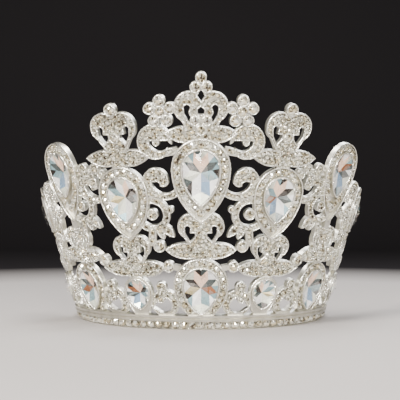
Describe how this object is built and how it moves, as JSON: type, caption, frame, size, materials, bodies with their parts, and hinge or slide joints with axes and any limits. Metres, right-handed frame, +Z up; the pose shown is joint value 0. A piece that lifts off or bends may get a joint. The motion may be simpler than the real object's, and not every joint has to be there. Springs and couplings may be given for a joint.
{
  "type": "pageant crown",
  "caption": "Open-backed pageant crown: a flared wall of pierced cast hearts, scrolls and leaves on a foot band, set with pear and round stones.",
  "frame": {"origin": "on the head's axis, level with the lower edge of the foot band", "axes": "+Z up along the head's axis, -Y out of the front, +X towards the wearer's left when worn"},
  "size_m": [0.1866, 0.1407, 0.1317],
  "materials": {
    "silver": "bright silver-coloured plating on cast metal",
    "pear_crystal": "clear cut glass with a foiled back",
    "round_crystal": "clear cut glass with a foiled back"
  },
  "bodies": {
    "root": {"crown_frame": "silver", "band_stones": "round_crystal", "big_pear_1": "pear_crystal", "big_pear_2_left": "pear_crystal", "big_pear_2_right": "pear_crystal", "big_pear_3_left": "pear_crystal", "big_pear_3_right": "pear_crystal", "big_pear_4_left": "pear_crystal", "big_pear_4_right": "pear_crystal", "crest_stone_left": "round_crystal", "crest_stone_right": "round_crystal", "flower_stone_1_left": "round_crystal", "flower_stone_1_right": "round_crystal", "flower_stone_2_left": "round_crystal", "flower_stone_2_right": "round_crystal", "flower_stone_3_left": "round_crystal", "flower_stone_3_right": "round_crystal", "flower_stone_4_left": "round_crystal", "flower_stone_4_right": "round_crystal", "flower_stone_5_left": "round_crystal", "flower_stone_5_right": "round_crystal", "flower_stone_6_left": "round_crystal", "flower_stone_6_right": "round_crystal", "halo_stones_1": "round_crystal", "halo_stones_2_left": "round_crystal", "halo_stones_2_right": "round_crystal", "halo_stones_3_left": "round_crystal", "halo_stones_3_right": "round_crystal", "halo_stones_4_left": "round_crystal", "halo_stones_4_right": "round_crystal", "halo_stones_low_1": "round_crystal", "heart_stone_1": "round_crystal", "heart_stone_2": "round_crystal", "heart_stone_3": "round_crystal", "heart_stone_left": "round_crystal", "heart_stone_right": "round_crystal", "link_stone_1_left": "round_crystal", "link_stone_1_right": "round_crystal", "link_stone_2_left": "round_crystal", "link_stone_2_right": "round_crystal", "link_stone_3_left": "round_crystal", "link_stone_3_right": "round_crystal", "link_stone_4_left": "round_crystal", "link_stone_4_right": "round_crystal", "low_pear_1": "pear_crystal", "low_pear_2_left": "pear_crystal", "low_pear_2_right": "pear_crystal", "low_pear_3_left": "pear_crystal", "low_pear_3_right": "pear_crystal", "low_pear_4_left": "pear_crystal", "low_pear_4_right": "pear_crystal", "top_stone_1": "round_crystal", "top_stone_2": "round_crystal", "top_stone_3": "round_crystal"}
  },
  "joints": []
}
